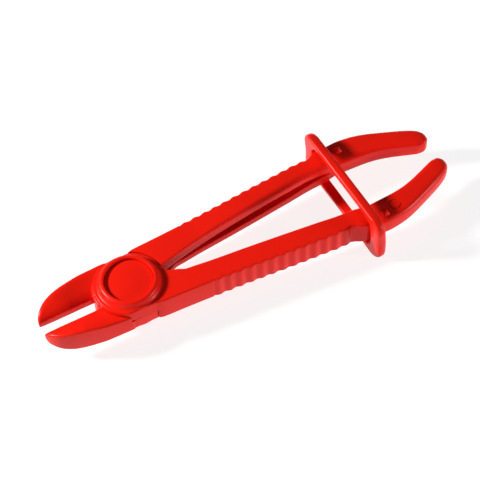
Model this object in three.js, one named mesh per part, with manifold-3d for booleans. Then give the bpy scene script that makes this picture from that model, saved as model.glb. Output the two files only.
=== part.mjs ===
// Hose-clamping pliers with a sliding lock loop. Millimetres, +Z up, pivot axis on Z.
// -X jaws, +X handle ends, -Y front handle. Both arms are one moulding, the second turned over about X.
import * as THREE from 'three';
import Module from 'manifold-3d';

// ---- driving dimensions (mm) ----
const armThickness = 12.5;
const bossHeight = 3.0;
const midZ = bossHeight + armThickness / 2;
const layerGap = 0.3;

const eyeRadius = 15.1;
const eyeHalfWidth = 13.85;
const shoulderRadius = 15.45;
const bossBaseRadius = 13.8;
const bossRimInnerRadius = 10.4;
// boss flank: drop in radius from the base, share of the boss height
const bossFlank = [[0, 0], [0.45, 0.08], [1.1, 0.4], [1.35, 0.62], [1.8, 0.86], [2.5, 1]];
const headRecess = 1.4;
const headThickness = 2.6;
const pivotFit = 0.05;
const shaftRadius = 5.0;
const shaftChamfer = 0.4;
const headRadius = bossRimInnerRadius - 0.15;
const headChamfer = 0.3;
const roundSegments = 64;

// jaw: x, outer y, half thickness on the eye's side, half height of the clamping edge, half thickness beyond
const jawEdgeY = 2.8;
const jawNose = 0.5;
const jawRim = 2.0;
const jawOuterBevel = 0.6;
const jawCrease = 0.22;
const jawCreaseHeight = 0.5;
const jawRimDrop = 0.02;
const jawNoseSetIn = 0.4;
// largest share of the local thickness or width that bevel and rim may take
const jawBevelShare = { thickness: 0.4, width: 0.3 };
const jawRimShare = 0.45;
const jawStations = [
  [-40.1, 3.9, 1.5, 1.2, 1.5],
  [-39.6, 5.1, 2.7, 1.5, 2.7],
  [-38.6, 6.5, 3.6, 1.7, 3.6],
  [-37.2, 7.9, 4.4, 1.8, 4.4],
  [-35.5, 9.2, 5.0, 1.9, 5.0],
  [-33.0, 10.5, 5.6, 2.0, 5.6],
  [-29.6, 11.7, 6.1, 2.0, 6.1],
  [-25.4, 12.7, 6.25, 2.0, 6.2],
  [-22.6, 13.2, 6.25, 2.0, 5.9],
  [-16.6, 14.0, 6.25, 2.1, 5.0],
  [-10.4, 14.2, 6.25, 2.2, 4.0],
  [-7.4, 14.3, 6.25, 2.2, 3.6],
  [-6.2, 14.3, 6.25, 2.2, 3.0],
  [-5.2, 14.2, 6.25, 2.2, 1.6],
  [-4.7, 14.0, 6.25, 2.2, 0.3],
];
// wall round the eye that ends the jaw's hollow: flare at its foot, and where it starts across the jaw
const rootWall = { flare: 0.8, startY: -1.9 };
const rootFillet = { flare: 3.0, startY: 3.4 };
const rootSteps = 5;
const rootFoot = 0.3;
const rootDropPerFlare = 1.2;
// rounding where the wall meets the eye's top: set-in from the eye's radius, drop below the top
const rootRim = [[0, 0.6], [0.2, 0.15], [0.6, 0]];
const rootPlan = { jawX: -19, bendX: -10, endX: -6, jawY: 12.6, endY: 13.4 };

// handle outline, as distance from the tool axis against x
const tailInner = [[103, 12.4], [112, 12.0], [119, 11.6], [124, 10.9], [130, 9.3], [135, 7.5], [139.5, 5.8],
  [142.5, 4.8], [144.8, 4.6], [146.5, 5.4], [147.6, 6.7], [148, 7.6]];
const outerLine = [[-3, 13.9], [5, 14.0], [8.4, 14.75], [17, 15.2], [30, 15.95], [40, 16.6], [50, 17.35],
  [60, 18.2], [70, 19.0], [80, 19.7], [90, 20.35], [94.2, 20.35], [95.4, 20.6], [97, 21.5], [98.7, 22.3],
  [101, 22.9], [105, 23.4], [108, 23.8], [111, 24.0], [117, 23.5], [121, 22.7], [125, 21.5], [130, 19.6],
  [135, 17.6], [139, 15.9], [142.5, 14.2], [145, 12.7], [146.7, 11.2], [147.7, 9.6], [148, 8.4]];
const innerLineEye = [[-3, -0.3], [14.5, -0.2], [16.2, 1.2], [18, 2.8], [20.5, 3.4], [22, 4.2], [23.5, 4.9],
  [27.7, 5.4], [35, 6.3], [50, 7.7], [65.5, 9.3], [80.7, 10.9], [95, 12.3], ...tailInner];
const innerLineShoulder = [[-3, 1.4], [15, 1.5], [17, 1.9], [25, 3.6], [34, 5.4], [43, 6.9], [50, 7.9],
  [60, 9.1], [70, 10.2], [80, 11.2], [95, 12.4], ...tailInner];
const halfThicknessLine = [[-3, 6.25], [98, 6.25], [101, 5.9], [104, 5.1], [107, 4.7], [140, 4.6],
  [144.5, 4.3], [146.6, 3.5], [147.6, 2.4], [148, 1.5]];

// roundings along the outline
const outerBevelLine = [[-3, 0.5], [28, 0.7], [95, 0.9], [108, 1.3], [120, 1.8], [140, 2.3], [146, 1.8],
  [148, 0.3]];
const eyeBevelLine = [[-3, 0.3], [60, 0.5], [95, 0.9], [106, 1.8], [140, 2.2], [146, 1.6], [148, 0.3]];
const shoulderBevelLine = [[-3, 0.3], [18, 0.4], [50, 1.1], [90, 2.2], [106, 1.9], [140, 2.2], [146, 1.6],
  [148, 0.3]];
const bevelShare = 0.3;

// slot along the inner side of the handle: x, lower edge, upper edge (above mid), depth
const slotLine = [[21, -0.4, 1.8, 0], [23, -0.45, 2.3, 3.0], [30, -0.6, 2.6, 5.0], [50, -1.0, 2.5, 6.0],
  [80, -1.6, 2.0, 5.6], [90, -1.6, 1.4, 4.0], [98, -1.2, 0.8, 1.6], [102, -0.8, 0.4, 0]];
const slotTaper = 0.3;

// grip scallops on the outer side: share of the pitch, rise
const scallopStartX = 31;
const scallopPitch = 4.85;
const scallopCount = 13;
const scallopMargin = { before: 0.5, after: 0.4 };
const leastStationGap = 0.05;
const scallopProfile = [[0, -0.24], [0.25, 0.2], [0.5, 0.36], [0.75, 0.2]];

// stop nibs and ejector mark on the tails
const nibBase = 3.4;
const nibTip = 0.8;
const nibHeight = 1.7;
const nibTop = [110.4, -20.2];
const nibUnder = [109.2, -18.6];
const markCentre = [116.4, -18.0];
const markRadius = 2.6;
const markWidth = 0.5;
const markDepth = 0.25;

// lock loop: drawn square to the tool, then turned a little about Z and Y
const loopX = 101.9;
const loopY = -0.4;
const loopYaw = 2;
const loopLean = -2;
const loopHalfLength = 30.5;
const loopHalfHeight = 12.75;
const loopRailWidth = 4.2;
const loopRailThickness = 3.0;
// outline at the -X face, the ridge and the +X face: place across the band, corner radius, set-in, bevel
const loopFaces = [[-2.1, 4.0, 0.35, 1.1], [0.84, 6.0, 0, 0.2], [2.1, 7.0, 0.45, 0.4]];
const windowHalfLength = 23.6;
const windowCorner = 5.0;
const windowBevel = 0.45;
const cornerSteps = 6;
const overlap = 1;

const wasm = await Module();
wasm.setup();

// ---- solids ----
function manifoldOf(points, triangles) {
  let volume = 0;
  for (const [a, b, c] of triangles) {
    const [p, q, r] = [points[a], points[b], points[c]];
    volume += p[0] * (q[1] * r[2] - q[2] * r[1]) - p[1] * (q[0] * r[2] - q[2] * r[0])
      + p[2] * (q[0] * r[1] - q[1] * r[0]);
  }
  const faces = volume > 0 ? triangles : triangles.map(([a, b, c]) => [a, c, b]);
  return new wasm.Manifold(new wasm.Mesh({
    numProp: 3,
    vertProperties: new Float32Array(points.flat()),
    triVerts: new Uint32Array(faces.flat()),
  }));
}

// skin through rings of equal count; flat end caps are triangulated in the plane given by capAxes
function loft(rings, capAxes) {
  const count = rings[0].length;
  const points = rings.flat();
  const triangles = [];
  for (let ring = 0; ring < rings.length - 1; ring += 1) {
    for (let i = 0; i < count; i += 1) {
      const a = ring * count + i;
      const b = ring * count + (i + 1) % count;
      triangles.push([a, b, b + count], [a, b + count, a + count]);
    }
  }
  const last = (rings.length - 1) * count;
  const flat = (ring) => ring.map((p) => new THREE.Vector2(p[capAxes[0]], p[capAxes[1]]));
  for (const [a, b, c] of THREE.ShapeUtils.triangulateShape(flat(rings[0]), [])) triangles.push([a, c, b]);
  for (const [a, b, c] of THREE.ShapeUtils.triangulateShape(flat(rings[rings.length - 1]), [])) {
    triangles.push([last + a, last + b, last + c]);
  }
  return manifoldOf(points, alignCaps(triangles, points, rings.length, count));
}

// caps must turn the same way as the skin: compare the shared edge directions
function alignCaps(triangles, points, ringCount, count) {
  const skinEnd = (ringCount - 1) * count * 2;
  const skin = triangles.slice(0, skinEnd);
  const skinEdges = new Set(skin.flatMap(([a, b, c]) => [`${a},${b}`, `${b},${c}`, `${c},${a}`]));
  const clashes = ([a, b, c]) => [`${a},${b}`, `${b},${c}`, `${c},${a}`].some((edge) => skinEdges.has(edge));
  const first = triangles.slice(skinEnd).filter((t) => Math.max(...t) < count);
  const final = triangles.slice(skinEnd).filter((t) => Math.min(...t) >= (ringCount - 1) * count);
  const turned = (cap) => (cap.some(clashes) ? cap.map(([a, b, c]) => [a, c, b]) : cap);
  return [...skin, ...turned(first), ...turned(final)];
}

function prism(outline, z0, z1) {
  return loft([z0, z1].map((z) => outline.map(([x, y]) => [x, y, z])), [0, 1]);
}

// turned body about Z from [radius, z] pairs
function turned(profile, segments = roundSegments) {
  const ring = ([radius, z]) => Array.from({ length: segments }, (_, i) => {
    const angle = (i / segments) * Math.PI * 2;
    return [radius * Math.cos(angle), radius * Math.sin(angle), z];
  });
  return loft(profile.map(ring), [0, 1]);
}

function disc(radius, z0, z1, segments = roundSegments) {
  return turned([[radius, z0], [radius, z1]], segments);
}

function valueAt(line, x, column = 1) {
  if (x <= line[0][0]) return line[0][column];
  for (let i = 1; i < line.length; i += 1) {
    const [x0, x1] = [line[i - 1][0], line[i][0]];
    if (x <= x1) {
      const t = (x - x0) / (x1 - x0);
      return line[i - 1][column] * (1 - t) + line[i][column] * t;
    }
  }
  return line[line.length - 1][column];
}

// ---- arm, drawn as the front one: eye in the upper layer, handle at -Y, jaw at +Y ----
const eyeUnder = midZ + layerGap / 2;
const armTop = midZ + armThickness / 2;
const bossTop = armTop + bossHeight;

// room for the other arm's eye
function shoulderCut() {
  return disc(shoulderRadius, bossHeight - overlap, eyeUnder);
}

function eyeSolid() {
  const circle = Array.from({ length: roundSegments }, (_, i) => {
    const angle = (i / roundSegments) * Math.PI * 2;
    const across = eyeRadius * Math.sin(angle);
    return [eyeRadius * Math.cos(angle), Math.max(-eyeHalfWidth, Math.min(eyeHalfWidth, across))];
  });
  return prism(circle, eyeUnder, armTop);
}

function jawRing([x, outer, half, edge, far]) {
  const width = outer - jawEdgeY;
  const bevel = Math.min(jawOuterBevel, half * jawBevelShare.thickness, width * jawBevelShare.width);
  const rim = Math.min(jawRim, width * jawRimShare);
  const profile = (thickness, height) => [
    [outer, thickness - bevel],
    [outer - bevel, thickness],
    [outer - rim, thickness - jawRimDrop],
    [jawEdgeY + width * jawCrease, height + (thickness - height) * jawCreaseHeight],
    [jawEdgeY + jawNose * jawNoseSetIn, height],
    [jawEdgeY, height - jawNose],
  ];
  const upper = profile(half, edge);
  const lower = profile(far, Math.min(edge, far)).reverse().map(([y, z]) => [y, -z]);
  return [...upper, ...lower].map(([y, z]) => [x, y, midZ + z]);
}

function rootSolid({ flare, startY }) {
  const { jawX, bendX, endX, jawY, endY } = rootPlan;
  const rimZ = armTop - rootRim[0][1];
  const footZ = Math.max(eyeUnder + rootFoot, rimZ - rootDropPerFlare * flare);
  const profile = [[eyeRadius + flare, eyeUnder]];
  for (let i = 0; i <= rootSteps; i += 1) {
    const angle = ((i / rootSteps) * Math.PI) / 2;
    profile.push([
      eyeRadius + flare * (1 - Math.sin(angle)),
      footZ + (rimZ - footZ) * (1 - Math.cos(angle)),
    ]);
  }
  profile.push(...rootRim.slice(1).map(([setIn, drop]) => [eyeRadius - setIn, armTop - drop]));
  const plan = [[jawX, startY], [bendX, startY], [endX, Math.max(startY, 0)], [endX, endY], [jawX, jawY]];
  return turned(profile).intersect(prism(plan, eyeUnder - overlap, armTop + overlap));
}

function jawSolid() {
  return loft(jawStations.map(jawRing), [1, 2])
    .subtract(shoulderCut())
    .add(rootSolid(rootWall))
    .add(rootSolid(rootFillet));
}

// both ends of one rounded edge, with a point between them on the curve
function edgePoints(distance, z, bevel, inwards) {
  const side = Math.sign(z);
  return [
    [distance + inwards * bevel, z],
    [distance + inwards * bevel * bevelShare, z - side * bevel * bevelShare],
    [distance, z - side * bevel],
  ];
}

function handleRing(x, scallop) {
  const half = valueAt(halfThicknessLine, x);
  const outer = valueAt(outerLine, x) + scallop;
  const eye = valueAt(innerLineEye, x);
  const shoulder = valueAt(innerLineShoulder, x);
  const [low, high, depth] = [1, 2, 3].map((column) => valueAt(slotLine, x, column));
  const section = [
    ...edgePoints(outer, -half, valueAt(outerBevelLine, x), -1),
    ...edgePoints(outer, half, valueAt(outerBevelLine, x), -1).reverse(),
    ...edgePoints(eye, half, valueAt(eyeBevelLine, x), 1),
    [eye, high],
    [eye + depth, high - slotTaper],
    [eye + depth, low + slotTaper],
    [shoulder, low],
    ...edgePoints(shoulder, -half, valueAt(shoulderBevelLine, x), 1).reverse(),
  ];
  return section.map(([distance, z]) => [x, -distance, midZ + z]);
}

function handleStations() {
  const lines = [outerLine, innerLineEye, innerLineShoulder, halfThicknessLine, slotLine];
  const end = scallopStartX + scallopPitch * scallopCount;
  const isClear = (x) => x < scallopStartX - scallopMargin.before || x > end + scallopMargin.after;
  const plain = lines.flat().map(([x]) => x).filter(isClear);
  const stations = plain.map((x) => [x, 0]);
  for (let i = 0; i < scallopCount; i += 1) {
    for (const [share, rise] of scallopProfile) {
      stations.push([scallopStartX + (i + share) * scallopPitch, rise]);
    }
  }
  stations.sort((a, b) => a[0] - b[0]);
  return stations.filter(([x], i) => i === 0 || x - stations[i - 1][0] > leastStationGap);
}

function handleSolid() {
  return loft(handleStations().map(([x, rise]) => handleRing(x, rise)), [1, 2]).subtract(shoulderCut());
}

function nib([x, y], side) {
  const seat = midZ + side * (valueAt(halfThicknessLine, x) - 0.1);
  const square = (width, z) => [[-1, -1], [1, -1], [1, 1], [-1, 1]].map(([sx, sy]) => [
    x + (sx * width) / 2,
    y + (sy * width) / 2,
    z,
  ]);
  return loft([square(nibBase, seat), square(nibTip, seat + side * (nibHeight + 0.1))], [0, 1]);
}

function bossSolid() {
  const flank = bossFlank.map(([drop, share]) => [bossBaseRadius - drop, armTop + bossHeight * share]);
  return turned([[bossBaseRadius, armTop - overlap], ...flank]);
}

function markGroove() {
  const [x, y] = markCentre;
  const top = midZ + valueAt(halfThicknessLine, x);
  const ring = disc(markRadius, top - markDepth, top + overlap, 24);
  const core = disc(markRadius - markWidth, top - overlap, top + 2 * overlap, 24);
  return ring.subtract(core).translate([x, y, 0]);
}

function armSolid() {
  const headFloor = bossTop - headRecess - headThickness;
  return eyeSolid()
    .add(jawSolid())
    .add(handleSolid())
    .add(bossSolid())
    .add(nib(nibTop, 1))
    .add(nib(nibUnder, -1))
    .subtract(disc(bossRimInnerRadius, headFloor, bossTop + overlap))
    .subtract(disc(shaftRadius + pivotFit, 0, armTop))
    .subtract(markGroove());
}

function turnedOver(solid) {
  return solid.translate([0, 0, -midZ]).rotate([180, 0, 0]).translate([0, 0, midZ]);
}

// ---- pivot ----
function rivetSolid() {
  const headTop = bossTop - headRecess;
  const headUnder = headTop - headThickness + pivotFit;
  return turned([
    [shaftRadius - shaftChamfer, 0],
    [shaftRadius, shaftChamfer],
    [shaftRadius, headUnder],
    [headRadius, headUnder],
    [headRadius, headTop - headChamfer],
    [headRadius - headChamfer, headTop],
  ]);
}

function retainerSolid() {
  const ring = turned([
    [headRadius - headChamfer, headRecess],
    [headRadius, headRecess + headChamfer],
    [headRadius, headRecess + headThickness - pivotFit],
  ]);
  return ring.subtract(disc(shaftRadius + 0.03, 0, midZ));
}

// ---- lock loop, swept round its outline in the YZ plane ----
function roundedRectangle(halfLength, halfHeight, corner) {
  const points = [];
  const centres = [[1, 1], [-1, 1], [-1, -1], [1, -1]];
  centres.forEach(([sy, sz], quarter) => {
    for (let i = 0; i <= cornerSteps; i += 1) {
      const angle = ((quarter + i / cornerSteps) * Math.PI) / 2;
      points.push([
        sy * (halfLength - corner) + corner * Math.cos(angle),
        sz * (halfHeight - corner) + corner * Math.sin(angle),
      ]);
    }
  });
  return points;
}

// one section of the band: outer points of the three faces, then the window's two edges
function loopRing(outers, inner) {
  const middle = outers[1];
  const across = [inner[0] - middle[0], inner[1] - middle[1]];
  const length = Math.hypot(...across);
  const depthOf = ([y, z]) => ((y - middle[0]) * across[0] + (z - middle[1]) * across[1]) / length;
  const [near, ridge, far] = loopFaces.map(([x, , , bevel], i) => ({ x, bevel, depth: depthOf(outers[i]) }));
  const section = [
    [near.x, near.depth + near.bevel],
    [near.x + near.bevel * bevelShare, near.depth + near.bevel * bevelShare],
    [near.x + near.bevel, near.depth],
    [ridge.x, ridge.depth],
    [far.x - far.bevel, far.depth],
    [far.x, far.depth + far.bevel],
    [far.x, length - windowBevel],
    [far.x - windowBevel, length],
    [near.x + windowBevel, length],
    [near.x, length - windowBevel],
  ];
  return section.map(([x, depth]) => [
    x,
    middle[0] + (across[0] * depth) / length,
    middle[1] + (across[1] * depth) / length,
  ]);
}

function closedSweep(rings) {
  const count = rings[0].length;
  const triangles = rings.flatMap((_, ring) => {
    const here = ring * count;
    const next = ((ring + 1) % rings.length) * count;
    return rings[0].flatMap((__, i) => {
      const j = (i + 1) % count;
      return [[here + i, here + j, next + j], [here + i, next + j, next + i]];
    });
  });
  return manifoldOf(rings.flat(), triangles);
}

function loopSolid() {
  const outlines = loopFaces.map(([, corner, setIn]) => (
    roundedRectangle(loopHalfLength - setIn, loopHalfHeight - setIn, corner)
  ));
  const window = roundedRectangle(windowHalfLength, loopHalfHeight - loopRailThickness, windowCorner);
  const rings = window.map((inner, i) => loopRing(outlines.map((outline) => outline[i]), inner));
  return closedSweep(rings).rotate([0, loopLean, loopYaw]).translate([loopX, loopY, midZ]);
}

// ---- nodes ----
function meshOf(name, solid, colour, roughness) {
  const { vertProperties, triVerts, numProp } = solid.getMesh();
  const position = [];
  for (let i = 0; i < vertProperties.length; i += numProp) position.push(...vertProperties.slice(i, i + 3));
  const geometry = new THREE.BufferGeometry();
  geometry.setAttribute('position', new THREE.Float32BufferAttribute(position, 3));
  geometry.setIndex([...triVerts]);
  geometry.computeVertexNormals();
  const material = new THREE.MeshStandardMaterial({ color: colour, roughness, metalness: 0 });
  const mesh = new THREE.Mesh(geometry, material);
  mesh.name = name;
  return mesh;
}

const arm = armSolid();
const pliers = new THREE.Group();
pliers.name = 'hose_clamping_pliers';
pliers.add(
  meshOf('arm_front', arm, 0xd61a10, 0.42),
  meshOf('arm_back', turnedOver(arm), 0xd61a10, 0.42),
  meshOf('pivot_rivet', rivetSolid(), 0xd21a10, 0.4),
  meshOf('pivot_retainer', retainerSolid(), 0xd21a10, 0.4),
  meshOf('lock_loop', loopSolid(), 0xd81c12, 0.38),
);

export default pliers;
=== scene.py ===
"""Hose-clamping pliers with a sliding lock loop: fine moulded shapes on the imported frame."""

import math

import bmesh
import bpy
import numpy as np
from mathutils import Matrix, Vector


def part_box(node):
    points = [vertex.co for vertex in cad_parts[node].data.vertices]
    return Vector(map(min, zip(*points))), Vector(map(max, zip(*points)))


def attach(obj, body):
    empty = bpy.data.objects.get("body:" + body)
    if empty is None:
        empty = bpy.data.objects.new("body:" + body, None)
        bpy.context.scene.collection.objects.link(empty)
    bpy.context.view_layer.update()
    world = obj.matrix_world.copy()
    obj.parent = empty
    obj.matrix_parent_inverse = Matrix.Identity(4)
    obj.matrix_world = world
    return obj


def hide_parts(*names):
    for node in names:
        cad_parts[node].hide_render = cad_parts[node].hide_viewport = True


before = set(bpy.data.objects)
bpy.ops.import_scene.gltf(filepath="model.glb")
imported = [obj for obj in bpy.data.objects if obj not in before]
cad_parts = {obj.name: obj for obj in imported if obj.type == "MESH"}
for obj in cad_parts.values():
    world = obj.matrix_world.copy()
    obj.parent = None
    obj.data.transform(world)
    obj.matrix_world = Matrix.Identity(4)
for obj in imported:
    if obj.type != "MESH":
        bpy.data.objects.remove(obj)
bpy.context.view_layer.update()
MM = 0.001

# ---- the frame's own heights, in millimetres ----


def node_height(node, end):
    """Height of a node's lowest (end 0) or highest (end 1) point."""
    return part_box(node)[end][2] / MM


MID = (node_height("arm_back", 0) + node_height("arm_front", 1)) / 2
HALF = 6.25

# ---- smooth profiles ----


def smooth_line(points):
    """Monotone cubic through the points' first two columns."""
    xs = np.array([p[0] for p in points], float)
    ys = np.array([p[1] for p in points], float)
    steps = np.diff(xs)
    slopes = np.diff(ys) / steps
    tangents = np.zeros(len(xs))
    for i in range(1, len(xs) - 1):
        before, after = slopes[i - 1], slopes[i]
        if before * after > 0:
            w1 = 2 * steps[i] + steps[i - 1]
            w2 = steps[i] + 2 * steps[i - 1]
            tangents[i] = (w1 + w2) / (w1 / before + w2 / after)
    tangents[0], tangents[-1] = slopes[0], slopes[-1]

    def value(x):
        x = min(max(x, xs[0]), xs[-1])
        i = min(int(np.searchsorted(xs, x, side="right")) - 1, len(xs) - 2)
        t = (x - xs[i]) / steps[i]
        a, b = ys[i], ys[i + 1]
        ta, tb = tangents[i] * steps[i], tangents[i + 1] * steps[i]
        t2, t3 = t * t, t * t * t
        return (2 * t3 - 3 * t2 + 1) * a + (t3 - 2 * t2 + t) * ta + (3 * t2 - 2 * t3) * b + (t3 - t2) * tb

    return value


# longest share of a side that one rounding takes, and how strongly the curve is drawn to its corner
LONGEST_CUT, CORNER_PULL = 0.48, 0.8


def rounded(corners, steps=6):
    """A closed outline from (a, b, radius) corners, each turned into a short curve."""
    points = np.array([c[:2] for c in corners], float)
    count = len(corners)
    outline = []
    for i in range(count):
        here, back, ahead = points[i], points[i - 1], points[(i + 1) % count]
        radius = corners[i][2]
        to_back, to_ahead = back - here, ahead - here
        lb, la = np.linalg.norm(to_back), np.linalg.norm(to_ahead)
        cut_b = min(radius, LONGEST_CUT * lb)
        cut_a = min(radius, LONGEST_CUT * la)
        start = here + to_back * (cut_b / max(lb, 1e-9))
        end = here + to_ahead * (cut_a / max(la, 1e-9))
        for k in range(steps + 1):
            t = k / steps
            w0, w1, w2 = (1 - t) ** 2, 2 * t * (1 - t) * CORNER_PULL, t * t
            outline.append((w0 * start + w1 * here + w2 * end) / (w0 + w1 + w2))
    return outline


# ---- meshes ----


def mesh_object(name, points, faces):
    mesh = bpy.data.meshes.new(name)
    mesh.from_pydata([tuple(p) for p in points], [], faces)
    work = bmesh.new()
    work.from_mesh(mesh)
    bmesh.ops.recalc_face_normals(work, faces=work.faces)
    if work.calc_volume() < 0:
        bmesh.ops.reverse_faces(work, faces=work.faces)
    work.to_mesh(mesh)
    work.free()
    obj = bpy.data.objects.new(name, mesh)
    bpy.context.scene.collection.objects.link(obj)
    return obj


def loft(name, rings, closed=False):
    """Skin through rings of equal count, with flat caps unless the rings close on themselves."""
    count = len(rings[0])
    points = [p for ring in rings for p in ring]
    faces = []
    spans = len(rings) if closed else len(rings) - 1
    for r in range(spans):
        first, second = r * count, ((r + 1) % len(rings)) * count
        for i in range(count):
            j = (i + 1) % count
            faces.append((first + i, first + j, second + j, second + i))
    if not closed:
        faces.append(tuple(reversed(range(count))))
        faces.append(tuple(range((len(rings) - 1) * count, len(rings) * count)))
    return mesh_object(name, points, faces)


def revolve(name, profile, segments=144):
    """Turned solid about Z from (radius, z) pairs, closed at both ends by flat caps."""
    rings = []
    for radius, z in profile:
        angles = [2 * math.pi * i / segments for i in range(segments)]
        rings.append([(radius * math.cos(a), radius * math.sin(a), z) for a in angles])
    return loft(name, rings)


def arc_points(centre, radius, start_deg, end_deg, steps):
    angles = np.radians(np.linspace(start_deg, end_deg, steps + 1))
    return [(centre[0] + radius * math.cos(a), centre[1] + radius * math.sin(a)) for a in angles]


def cylinder(name, radius, z0, z1, segments=144):
    return revolve(name, [(radius, z0), (radius, z1)], segments)


def combine(base, others, operation):
    for other in others:
        step = base.modifiers.new(operation, "BOOLEAN")
        step.operation = operation
        step.solver = "MANIFOLD"
        step.object = other
    bpy.context.view_layer.update()
    graph = bpy.context.evaluated_depsgraph_get()
    mesh = bpy.data.meshes.new_from_object(base.evaluated_get(graph))
    base.modifiers.clear()
    old = base.data
    base.data = mesh
    bpy.data.meshes.remove(old)
    for other in others:
        data = other.data
        bpy.data.objects.remove(other)
        bpy.data.meshes.remove(data)
    return base


# ---- the arm, drawn as the front one: eye above, handle towards -Y, jaw towards +Y ----
LAYER_GAP = 0.3
EYE_R, EYE_HALF_WIDTH = 15.1, 13.85
EYE_RIM_ROUND, EYE_FLAT_ROUND = 0.6, 0.8
SHOULDER_R = 15.45
# how far past the middle the cutting cylinders reach
CUT_REACH = 12
BOSS_R, BOSS_HEIGHT, RIM_INNER_R, RECESS_DEPTH = 13.8, 3.0, 10.4, 4
# boss flank as (set-in from BOSS_R, height above the arm)
BOSS_FLANK = [(0, -1), (0, 0), (0.45, 0.25), (0.8, 0.7), (1.1, 1.2)]
# crest of the rim: set-in of its arc's centre, and the arc's radius
BOSS_CREST_SET_IN, BOSS_CREST_R = 2.75, 1.5
# inner edge of the rim as (set-out from RIM_INNER_R, height above the boss)
BOSS_LIP = [(0.35, 0), (0.1, -0.1), (0, -0.35), (-0.01, -3)]
SHAFT_R = 5.05
NIB_TOP, NIB_UNDER, NIB_SINK = (110.4, -20.2), (109.2, -18.6), 0.3
# nib outline as (half width, height)
NIB_STEPS = [(1.7, 0), (1.55, 0.4), (1.1, 1.1), (0.6, 1.75), (0.35, 1.95), (0.15, 2.0)]
MARK_CENTRE, MARK_R, MARK_WIDTH, MARK_DEPTH = (116.4, -18.0), 2.6, 0.5, 0.25

TAIL_INNER = [(103, 12.4), (112, 12.0), (119, 11.6), (124, 10.9), (130, 9.3), (135, 7.5), (139.5, 5.8),
              (142.5, 4.8), (144.8, 4.6), (146.5, 5.4), (147.6, 6.7), (148, 7.6)]
OUTER = smooth_line([(-3, 13.9), (5, 14.0), (8.4, 14.75), (17, 15.2), (30, 15.95), (40, 16.6), (50, 17.35),
                     (60, 18.2), (70, 19.0), (80, 19.7), (90, 20.35), (94.2, 20.35), (95.4, 20.6),
                     (97, 21.5), (98.7, 22.3), (101, 22.9), (105, 23.4), (108, 23.8), (111, 24.0),
                     (117, 23.5), (121, 22.7), (125, 21.5), (130, 19.6), (135, 17.6), (139, 15.9),
                     (142.5, 14.2), (145, 12.7), (146.7, 11.2), (147.7, 9.6), (148, 8.4)])
INNER_EYE = smooth_line([(-3, -0.3), (14.5, -0.2), (16.2, 1.2), (18, 2.8), (20.5, 3.4), (22, 4.2),
                         (23.5, 4.9), (27.7, 5.4), (35, 6.3), (50, 7.7), (65.5, 9.3), (80.7, 10.9),
                         (95, 12.3)] + TAIL_INNER)
INNER_SHOULDER = smooth_line([(-3, 1.4), (15, 1.5), (17, 1.9), (25, 3.6), (34, 5.4), (43, 6.9), (50, 7.9),
                              (60, 9.1), (70, 10.2), (80, 11.2), (95, 12.4)] + TAIL_INNER)
HALF_THICKNESS = smooth_line([(-3, HALF), (98, HALF), (101, 5.9), (104, 5.1), (107, 4.7), (140, 4.6),
                              (144.5, 4.3), (146.6, 3.5), (147.6, 2.4), (148, 1.5)])
OUTER_ROUND = smooth_line([(-3, 0.7), (28, 1.0), (95, 1.3), (103, 1.5), (108, 1.8), (120, 2.4), (140, 3.0),
                           (146, 2.6), (148, 1)])
INNER_ROUND_EYE = smooth_line([(-3, 0.4), (60, 0.6), (95, 1.2), (106, 2.4), (140, 3.0), (146, 2.4),
                               (148, 0.8)])
INNER_ROUND_SHOULDER = smooth_line([(-3, 0.4), (18, 0.5), (50, 1.5), (90, 3.0), (106, 2.6), (140, 3.0),
                                    (146, 2.4), (148, 0.8)])
SLOT_LOW = smooth_line([(17, -0.3), (22, -0.4), (24, -0.5), (50, -1.0), (80, -1.6), (90, -1.6),
                        (98, -1.2), (102, -0.8)])
SLOT_HIGH = smooth_line([(17, 1.6), (20, 2.6), (24, 2.8), (50, 2.5), (80, 2.0), (90, 1.4), (98, 0.8),
                         (102, 0.4)])
SLOT_DEPTH = smooth_line([(17, 0), (19, 3.0), (25, 5.0), (50, 6.0), (80, 5.6), (90, 4.0), (98, 1.6),
                          (102, 0)])
SLOT_TAPER, SLOT_LIP, SLOT_LIP_SHARE, LEAST_SLOT = 0.3, 0.45, 0.4, 0.02
SCALLOP_START, SCALLOP_PITCH, SCALLOP_COUNT = 31, 4.85, 13
# height of a bump, and the share of it that lies below the handle's outline
SCALLOP_DEPTH, SCALLOP_SINK = 0.55, 0.45


def scallop(x):
    """Grip bumps: an even wave along the handle."""
    share = (x - SCALLOP_START) / SCALLOP_PITCH
    if share < 0 or share > SCALLOP_COUNT:
        return 0.0
    inside = share % 1.0
    return SCALLOP_DEPTH * (0.5 - 0.5 * math.cos(2 * math.pi * inside) - SCALLOP_SINK)


def handle_ring(x):
    half, outer = HALF_THICKNESS(x), OUTER(x) + scallop(x)
    eye, shoulder = INNER_EYE(x), INNER_SHOULDER(x)
    out, inn, inn_low = OUTER_ROUND(x), INNER_ROUND_EYE(x), INNER_ROUND_SHOULDER(x)
    low, high, depth = SLOT_LOW(x), SLOT_HIGH(x), max(SLOT_DEPTH(x), LEAST_SLOT)
    lip = min(SLOT_LIP, depth * SLOT_LIP_SHARE)
    corners = [
        (outer, -half, out),
        (outer, half, out),
        (eye, half, inn),
        (eye, high, lip),
        (eye + depth, high - SLOT_TAPER, lip * 1.5),
        (eye + depth, low + SLOT_TAPER, lip * 1.5),
        (shoulder, low, lip),
        (shoulder, -half, inn_low),
    ]
    return [(x, -d, MID + z) for d, z in rounded(corners)]


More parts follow.
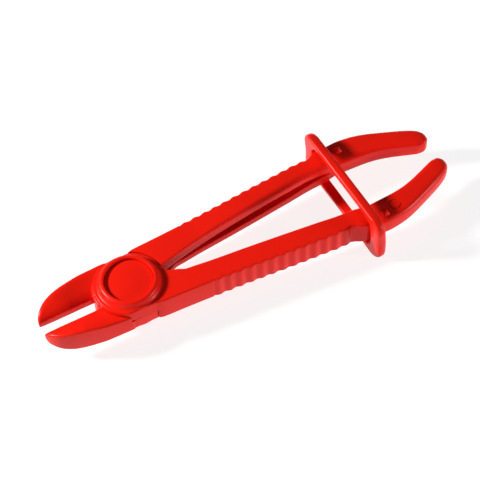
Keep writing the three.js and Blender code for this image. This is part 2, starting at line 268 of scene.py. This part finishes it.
def handle_stations():
    """Where the handle's rings stand: even steps, ten to a bump, and closer together towards the tip."""
    start, tip, tip_length, per_bump = -3, 148, 7, 10
    end = SCALLOP_START + SCALLOP_COUNT * SCALLOP_PITCH
    xs = list(np.arange(start, SCALLOP_START, 0.8))
    for i in range(SCALLOP_COUNT):
        for k in range(per_bump):
            xs.append(SCALLOP_START + (i + k / per_bump) * SCALLOP_PITCH)
    xs += list(np.arange(end, tip - tip_length + 1, 0.6))
    xs += [tip - tip_length * (1 - math.sin(a)) for a in np.linspace(0.01, math.pi / 2, 24)]
    return sorted(xs)


# x, outer y, half thickness on the eye's side, half height of the clamping edge, half thickness beyond
JAW = [
    (-40.1, 3.9, 1.5, 1.2, 1.5),
    (-39.6, 5.1, 2.7, 1.5, 2.7),
    (-38.6, 6.5, 3.6, 1.7, 3.6),
    (-37.2, 7.9, 4.4, 1.8, 4.4),
    (-35.5, 9.2, 5.0, 1.9, 5.0),
    (-33.0, 10.5, 5.6, 2.0, 5.6),
    (-29.6, 11.7, 6.1, 2.0, 6.1),
    (-25.4, 12.7, 6.25, 2.0, 6.2),
    (-22.6, 13.2, 6.25, 2.0, 5.9),
    (-16.6, 14.0, 6.25, 2.1, 5.0),
    (-10.4, 14.2, 6.25, 2.2, 4.0),
    (-7.4, 14.3, 6.25, 2.2, 3.6),
    (-6.2, 14.3, 6.25, 2.2, 3.3),
    (-5.4, 14.25, 6.25, 2.2, 2.5),
    (-4.95, 14.1, 6.25, 2.2, 1.4),
    (-4.7, 14.0, 6.25, 2.2, -0.4),
]
JAW_EDGE_Y = 2.8
JAW_OUTER = smooth_line([(s[0], s[1]) for s in JAW])
JAW_HALF = smooth_line([(s[0], s[2]) for s in JAW])
JAW_EDGE = smooth_line([(s[0], s[3]) for s in JAW])
JAW_HALF_FAR = smooth_line([(s[0], s[4]) for s in JAW])
# flat along the outer edge, and the crease of the hollow as shares of the jaw's width and thickness
JAW_RIM, JAW_RIM_SHARE, JAW_RIM_DROP = 2.0, 0.45, 0.01
JAW_CREASE, JAW_CREASE_HEIGHT = 0.22, 0.5
JAW_OUTER_ROUND, JAW_RIM_ROUND, JAW_CREASE_ROUND, JAW_EDGE_ROUND = 1.0, 3.0, 2.0, 0.9


def jaw_ring(x):
    outer, half, edge, far = JAW_OUTER(x), JAW_HALF(x), JAW_EDGE(x), JAW_HALF_FAR(x)
    width = outer - JAW_EDGE_Y
    rim = min(JAW_RIM, width * JAW_RIM_SHARE)
    crease = JAW_EDGE_Y + width * JAW_CREASE
    low_edge = min(edge, far)
    corners = [
        (outer, -far, JAW_OUTER_ROUND),
        (outer, half, JAW_OUTER_ROUND),
        (outer - rim, half - JAW_RIM_DROP, JAW_RIM_ROUND),
        (crease, edge + (half - edge) * JAW_CREASE_HEIGHT, JAW_CREASE_ROUND),
        (JAW_EDGE_Y, edge, JAW_EDGE_ROUND),
        (JAW_EDGE_Y, -low_edge, JAW_EDGE_ROUND),
        (crease, -low_edge - (far - low_edge) * JAW_CREASE_HEIGHT, JAW_CREASE_ROUND),
        (outer - rim, -far + JAW_RIM_DROP, JAW_RIM_ROUND),
    ]
    return [(x, y, MID + z) for y, z in rounded(corners)]


def jaw_stations():
    """Where the jaw's rings stand: closest at the tip and at the end that turns down beside the eye."""
    tip, tip_length, end = JAW[0][0], 5, JAW[-1][0]
    xs = [tip + tip_length * (1 - math.cos(a)) for a in np.linspace(0, math.pi / 2, 16)]
    for start, stop, step in ((-34.7, -22, 0.5), (-22, -14, 0.25), (-14, -6, 0.8), (-6, end, 0.13)):
        xs += list(np.arange(start, stop, step))
    return xs + [end]


# the wall that ends the jaw's hollow: flare at its foot, where it starts across the jaw, slant of that start
ROOT_WALLS = [(15.9 - EYE_R, -1.9, 4), (3.0, 3.4, 0)]
ROOT_FOOT, ROOT_DROP_PER_FLARE, ROOT_SLANT_BACK = 0.3, 1.2, 0.2
ROOT_JAW_X, ROOT_BEND_X, ROOT_END_X, ROOT_JAW_Y, ROOT_END_Y = -19, -10, -6, 12.6, 13.4


def root_ring(flare, start_y, slant):
    """Part of a ring round the eye, flared at its foot, from start_y up to the jaw's rim."""
    low, top = MID + LAYER_GAP / 2, MID + HALF
    rim = EYE_RIM_ROUND
    foot_z = max(low + ROOT_FOOT, top - ROOT_DROP_PER_FLARE * flare - rim)
    profile = [(EYE_R + flare, low)]
    for a in np.linspace(0, math.pi / 2, 12):
        height = (top - rim - foot_z) * (1 - math.cos(a))
        profile.append((EYE_R + flare * (1 - math.sin(a)), foot_z + height))
    profile += arc_points((EYE_R - rim, top - rim), rim, 8, 90, 6)
    ring = revolve("root", profile)
    near_y = start_y - ROOT_SLANT_BACK * slant
    plan = [(ROOT_JAW_X, start_y + slant), (-EYE_R, near_y), (ROOT_BEND_X, near_y),
            (ROOT_END_X, max(start_y, 0)), (ROOT_END_X, ROOT_END_Y), (ROOT_JAW_X, ROOT_JAW_Y)]
    block = loft("root_plan", [[(x, y, z) for x, y in plan] for z in (low - 0.5, top + 1)])
    return combine(ring, [block], "INTERSECT")


def shoulder():
    """Room for the other arm's eye, cut out of everything in its layer."""
    return cylinder("shoulder", SHOULDER_R, MID - CUT_REACH, MID + LAYER_GAP / 2)


def jaw_solid():
    jaw = loft("jaw", [jaw_ring(x) for x in jaw_stations()])
    combine(jaw, [shoulder()], "DIFFERENCE")
    return combine(jaw, [root_ring(*wall) for wall in ROOT_WALLS], "UNION")


def handle_solid():
    handle = loft("handle", [handle_ring(x) for x in handle_stations()])
    return combine(handle, [shoulder()], "DIFFERENCE")


def boss_profile():
    top = MID + HALF
    crest = (BOSS_R - BOSS_CREST_SET_IN, top + BOSS_HEIGHT - BOSS_CREST_R)
    profile = [(BOSS_R - set_in, top + height) for set_in, height in BOSS_FLANK]
    profile += arc_points(crest, BOSS_CREST_R, 20, 88, 10)
    return profile + [(RIM_INNER_R + set_out, top + BOSS_HEIGHT + height) for set_out, height in BOSS_LIP]


def nib(x, y, side):
    """A small stop on the tail, a blunt pyramid with soft corners."""
    seat = HALF_THICKNESS(x) - NIB_SINK
    rings = []
    for half, height in NIB_STEPS:
        soft = half * 0.4
        square = [(-half, -half, soft), (half, -half, soft), (half, half, soft), (-half, half, soft)]
        rings.append([(x + a, y + b, MID + side * (seat + height)) for a, b in rounded(square, 3)])
    return loft("nib", rings)


def eye_solid():
    """The pivot's round eye with its two flat sides."""
    low, top, width = MID + LAYER_GAP / 2, MID + HALF, EYE_HALF_WIDTH
    rim = arc_points((EYE_R - EYE_RIM_ROUND, top - EYE_RIM_ROUND), EYE_RIM_ROUND, 0, 90, 6)
    eye = revolve("eye", [(EYE_R, low)] + rim)
    across = rounded([(-width, low, 0.01), (width, low, 0.01), (width, top, EYE_FLAT_ROUND),
                      (-width, top, EYE_FLAT_ROUND)])
    return combine(eye, [loft("flats", [[(x, y, z) for y, z in across] for x in (-20, 20)])], "INTERSECT")


def mark_groove():
    """The shallow round line that an ejector pin leaves on the tail."""
    x, y = MARK_CENTRE
    top = MID + HALF_THICKNESS(x)
    groove = cylinder("mark", MARK_R, top - MARK_DEPTH, top + 1, 48)
    plug = cylinder("mark_plug", MARK_R - MARK_WIDTH, top - 1, top + 0.02, 48)
    combine(groove, [plug], "DIFFERENCE")
    groove.data.transform(Matrix.Translation((x, y, 0)))
    return groove


def arm_mesh():
    boss_top = MID + HALF + BOSS_HEIGHT
    arm = eye_solid()
    combine(arm, [jaw_solid(), handle_solid(), revolve("boss", boss_profile())], "UNION")
    combine(arm, [nib(*NIB_TOP, 1), nib(*NIB_UNDER, -1)], "UNION")
    combine(arm, [mark_groove()], "DIFFERENCE")
    recess = cylinder("recess", RIM_INNER_R - 0.005, boss_top - RECESS_DEPTH, boss_top + 1)
    bore = cylinder("bore", SHAFT_R, MID - CUT_REACH, MID + CUT_REACH)
    return combine(arm, [recess, bore], "DIFFERENCE")


def in_metres(obj):
    obj.data.transform(Matrix.Scale(MM, 4))
    obj.data.update()
    return obj


def shade(obj, angle_deg=32):
    mesh = obj.data
    mesh.shade_smooth()
    work = bmesh.new()
    work.from_mesh(mesh)
    for edge in work.edges:
        if len(edge.link_faces) == 2 and edge.calc_face_angle(0) > math.radians(angle_deg):
            edge.smooth = False
    work.to_mesh(mesh)
    work.free()
    return obj


# ---- loop ----
LOOP_X, LOOP_Y = 101.9, -0.4
LOOP_HALF_LENGTH, LOOP_HALF_HEIGHT, LOOP_YAW_DEG, LOOP_LEAN_DEG = 30.5, 12.75, 2.0, -2.0
RAIL_W, RAIL_T = 4.2, 3.0
WINDOW_HALF_LENGTH, WINDOW_CORNER = 23.6, 5.0
# outline at three places across the band: place, outer corner radius, set-in, rounding of the edge
LOOP_FACES = [(-RAIL_W / 2, 4.0, 0.35, 2.2), (RAIL_W * 0.2, 6.0, 0.0, 0.4), (RAIL_W / 2, 7.0, 0.45, 0.7)]
# the window's two edges: place across the band, rounding
WINDOW_EDGES = [(RAIL_W / 2, 0.6), (-RAIL_W / 2, 0.9)]


def rounded_rectangle(half_length, half_height, corner, corner_steps=14, side_steps=(40, 8)):
    """Points round a rectangle with round corners, the same count for any corner radius."""
    corners = [(1, 1), (-1, 1), (-1, -1), (1, -1)]
    arcs = []
    for quarter, (sy, sz) in enumerate(corners):
        centre = (sy * (half_length - corner), sz * (half_height - corner))
        arcs.append(arc_points(centre, corner, quarter * 90, quarter * 90 + 90, corner_steps))
    points = []
    for quarter, arc in enumerate(arcs):
        ahead = arcs[(quarter + 1) % 4][0]
        count = side_steps[quarter % 2]
        shares = np.arange(1, count) / count
        points += arc + [tuple(np.array(arc[-1]) * (1 - t) + np.array(ahead) * t) for t in shares]
    return points


def loop_mesh():
    window = rounded_rectangle(WINDOW_HALF_LENGTH, LOOP_HALF_HEIGHT - RAIL_T, WINDOW_CORNER)
    outlines = [rounded_rectangle(LOOP_HALF_LENGTH - set_in, LOOP_HALF_HEIGHT - set_in, corner)
                for _, corner, set_in, _ in LOOP_FACES]
    rings = []
    for i, inner in enumerate(np.array(window)):
        middle = np.array(outlines[1][i])
        depth = float(np.linalg.norm(inner - middle))
        across = (inner - middle) / depth
        corners = [(x, float(np.dot(np.array(outline[i]) - middle, across)), rounding)
                   for (x, _, _, rounding), outline in zip(LOOP_FACES, outlines)]
        corners += [(x, depth, rounding) for x, rounding in WINDOW_EDGES]
        rings.append([(x, *(middle + across * d)) for x, d in rounded(corners)])
    loop = loft("loop", rings, closed=True)
    yaw = Matrix.Rotation(math.radians(LOOP_YAW_DEG), 4, "Z")
    lean = Matrix.Rotation(math.radians(LOOP_LEAN_DEG), 4, "Y")
    loop.data.transform(Matrix.Translation((LOOP_X, LOOP_Y, MID)) @ yaw @ lean)
    return loop


# ---- pivot ----
RIVET_R, RIVET_CHAMFER, RETAINER_BORE_R = 5, 0.4, 5.03
HEAD_R, HEAD_THICKNESS, HEAD_ROUND, HEAD_RECESS = RIM_INNER_R - 0.15, 2.55, 0.3, 1.4


def rivet_mesh():
    top = MID + HALF + BOSS_HEIGHT - HEAD_RECESS
    profile = [(RIVET_R - RIVET_CHAMFER, 0), (RIVET_R, RIVET_CHAMFER), (RIVET_R, top - HEAD_THICKNESS),
               (HEAD_R, top - HEAD_THICKNESS), (HEAD_R, top - HEAD_ROUND)]
    profile += arc_points((HEAD_R - HEAD_ROUND, top - HEAD_ROUND), HEAD_ROUND, 15, 90, 5)
    return revolve("rivet", profile)


def retainer_mesh():
    ring = revolve("retainer", [(HEAD_R - HEAD_ROUND, HEAD_RECESS), (HEAD_R, HEAD_RECESS + HEAD_ROUND),
                                (HEAD_R, HEAD_RECESS + HEAD_THICKNESS)])
    return combine(ring, [cylinder("hole", RETAINER_BORE_R, 0, MID)], "DIFFERENCE")


# ---- material ----
BASE_RED, SPECULAR, ROUGHNESS = (0.80, 0.0105, 0.0035), 0.14, 0.33
# moulding grain (per metre, height in metres) and the slow variation of tint and gloss
GRAIN_SCALE, GRAIN_STRENGTH, GRAIN_HEIGHT = 2600, 0.12, 0.00006
CLOUD_SCALE, CLOUD_RANGE, CLOUD_TINT = 45, (0.3, 0.7), (0.93, 0.9, 0.9)
GLOSS_RANGE = (ROUGHNESS - 0.05, ROUGHNESS + 0.06)


def noise(nodes, scale, detail):
    texture = nodes.new("ShaderNodeTexNoise")
    texture.inputs["Scale"].default_value = scale
    texture.inputs["Detail"].default_value = detail
    return texture


def red_plastic(name):
    material = bpy.data.materials.new(name)
    material.use_nodes = True
    nodes, links = material.node_tree.nodes, material.node_tree.links
    shader = nodes["Principled BSDF"]
    shader.inputs["Specular IOR Level"].default_value = SPECULAR
    coord = nodes.new("ShaderNodeTexCoord")
    grain = noise(nodes, GRAIN_SCALE, 3)
    links.new(coord.outputs["Object"], grain.inputs["Vector"])
    bump = nodes.new("ShaderNodeBump")
    bump.inputs["Strength"].default_value = GRAIN_STRENGTH
    bump.inputs["Distance"].default_value = GRAIN_HEIGHT
    links.new(grain.outputs["Fac"], bump.inputs["Height"])
    links.new(bump.outputs["Normal"], shader.inputs["Normal"])
    cloud = noise(nodes, CLOUD_SCALE, 4)
    links.new(coord.outputs["Object"], cloud.inputs["Vector"])
    tint = nodes.new("ShaderNodeValToRGB")
    duller, clear = tint.color_ramp.elements
    duller.position, clear.position = CLOUD_RANGE
    duller.color = (*(a * b for a, b in zip(BASE_RED, CLOUD_TINT)), 1)
    clear.color = (*BASE_RED, 1)
    links.new(cloud.outputs["Fac"], tint.inputs["Fac"])
    links.new(tint.outputs["Color"], shader.inputs["Base Color"])
    gloss = nodes.new("ShaderNodeMapRange")
    gloss.inputs["To Min"].default_value, gloss.inputs["To Max"].default_value = GLOSS_RANGE
    links.new(cloud.outputs["Fac"], gloss.inputs["Value"])
    links.new(gloss.outputs["Result"], shader.inputs["Roughness"])
    return material


red = red_plastic("moulded_red")


def dress(obj, name, body, node):
    obj.name = name
    shade(in_metres(obj))
    obj.data.materials.clear()
    obj.data.materials.append(red)
    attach(obj, body)
    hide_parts(node)


front = arm_mesh()
turned = front.data.copy()
to_middle = Matrix.Translation((0, 0, MID))
turned.transform(to_middle @ Matrix.Rotation(math.pi, 4, "X") @ to_middle.inverted())
back = bpy.data.objects.new("arm_turned", turned)
bpy.context.scene.collection.objects.link(back)
dress(front, "front_arm_moulding", "front_arm", "arm_front")
dress(back, "back_arm_moulding", "back_arm", "arm_back")
dress(rivet_mesh(), "rivet_head_and_shaft", "pivot", "pivot_rivet")
dress(retainer_mesh(), "rivet_retainer_ring", "pivot", "pivot_retainer")
dress(loop_mesh(), "lock_loop_band", "loop", "lock_loop")


# ---- floor, lights and camera ----
FLOOR_SIDE, FLOOR_GREY, FLOOR_GLOW = 6, 0.25, 0.84
# lights: direction they come from, distance and size (m), power (W)
LIGHTS = {
    "key": ((-0.894, 0.447, 0.60), 0.9, 0.15, 13.5),
    "fill": ((0.95, -0.85, 0.19), 1.1, 0.2, 6.5),
}
LIGHT_AIM = Vector((0.05, 0, 0.01))
WORLD_STRENGTH = 0.1
# camera: degrees above the floor, heading and roll, metres to its target, lens and sensor (mm)
CAMERA_ELEVATION, CAMERA_HEADING, CAMERA_ROLL = 55.60, 24.65, -3.70
CAMERA_DISTANCE, CAMERA_LENS, CAMERA_SENSOR = 0.700, 122.85, 36
CAMERA_TARGET = Vector((0.05342, 0.00437, (MID - HALF) * MM))


def add_floor():
    low = min(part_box(node)[0][2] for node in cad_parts)
    mesh = bpy.data.meshes.new("floor")
    corners = [(x * FLOOR_SIDE, y * FLOOR_SIDE, low) for x, y in ((-1, -1), (1, -1), (1, 1), (-1, 1))]
    mesh.from_pydata(corners, [], [(0, 1, 2, 3)])
    floor = bpy.data.objects.new("floor", mesh)
    bpy.context.scene.collection.objects.link(floor)
    material = bpy.data.materials.new("pale_floor")
    material.use_nodes = True
    shader = material.node_tree.nodes["Principled BSDF"]
    shader.inputs["Base Color"].default_value = (FLOOR_GREY, FLOOR_GREY, FLOOR_GREY, 1)
    shader.inputs["Roughness"].default_value = 0.9
    shader.inputs["Specular IOR Level"].default_value = 0.1
    shader.inputs["Emission Color"].default_value = (1, 1, 1, 1)
    shader.inputs["Emission Strength"].default_value = FLOOR_GLOW
    mesh.materials.append(material)


def add_light(name, towards, distance, size, power):
    """An area light off along a direction, aimed at the middle of the tool."""
    light = bpy.data.lights.new(name, "AREA")
    light.shape = "DISK"
    light.size = size
    light.energy = power
    obj = bpy.data.objects.new(name, light)
    offset = Vector(towards).normalized() * distance
    obj.location = LIGHT_AIM + offset
    obj.rotation_euler = offset.to_track_quat("Z", "Y").to_euler()
    bpy.context.scene.collection.objects.link(obj)


def add_camera():
    e, h, r = map(math.radians, (CAMERA_ELEVATION, CAMERA_HEADING, CAMERA_ROLL))
    forward = Vector((math.sin(h) * math.cos(e), math.cos(h) * math.cos(e), -math.sin(e)))
    right = Vector((math.cos(h), -math.sin(h), 0))
    up = right.cross(forward)
    turned_right = right * math.cos(r) + up * math.sin(r)
    turned_up = up * math.cos(r) - right * math.sin(r)
    data = bpy.data.cameras.new("camera")
    data.sensor_width = CAMERA_SENSOR
    data.lens = CAMERA_LENS
    camera = bpy.data.objects.new("camera", data)
    basis = Matrix((turned_right, turned_up, -forward)).transposed()
    camera.matrix_world = Matrix.Translation(CAMERA_TARGET - forward * CAMERA_DISTANCE) @ basis.to_4x4()
    bpy.context.scene.collection.objects.link(camera)
    bpy.context.scene.camera = camera


def add_world():
    world = bpy.data.worlds.new("studio")
    world.use_nodes = True
    background = world.node_tree.nodes["Background"]
    background.inputs["Color"].default_value = (1, 1, 1, 1)
    background.inputs["Strength"].default_value = WORLD_STRENGTH
    bpy.context.scene.world = world


add_floor()
for light_name, settings in LIGHTS.items():
    add_light(light_name, *settings)
add_camera()
add_world()
bpy.context.scene.view_settings.view_transform = "Standard"
